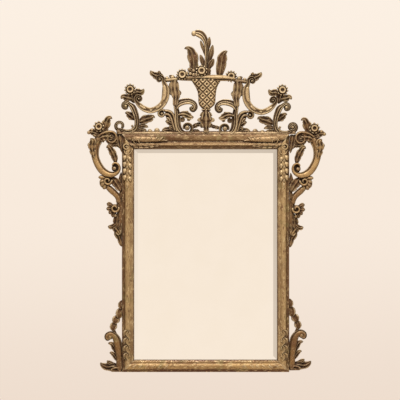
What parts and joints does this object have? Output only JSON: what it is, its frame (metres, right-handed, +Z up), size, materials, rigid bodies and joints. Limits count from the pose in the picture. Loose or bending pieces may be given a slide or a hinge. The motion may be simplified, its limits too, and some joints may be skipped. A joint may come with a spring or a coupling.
{
  "type": "wall mirror",
  "caption": "Upright bevelled wall mirror in a moulded, mitred giltwood frame with a pierced rococo crest, carved ears and carved feet.",
  "frame": {"origin": "middle of the top rail's flat wall face", "axes": "+Y into the wall, +Z up along the stiles, +X to the viewer's right; the front faces -Y"},
  "size_m": [0.9522, 0.047, 1.3682],
  "materials": {
    "giltwood": "carved softwood under worn, toned silver-gilt leaf, reddish ground in the hollows, dull satin",
    "mirror_plate": "silvered plate glass with a polished bevelled margin",
    "back_board": "plain unfinished softwood board"
  },
  "bodies": {
    "root": {"top_rail": "giltwood", "bottom_rail": "giltwood", "left_stile": "giltwood", "right_stile": "giltwood", "crest": "giltwood", "left_ear": "giltwood", "right_ear": "giltwood", "left_foot": "giltwood", "right_foot": "giltwood", "mirror_plate": "mirror_plate", "back_board": "back_board"}
  },
  "joints": []
}
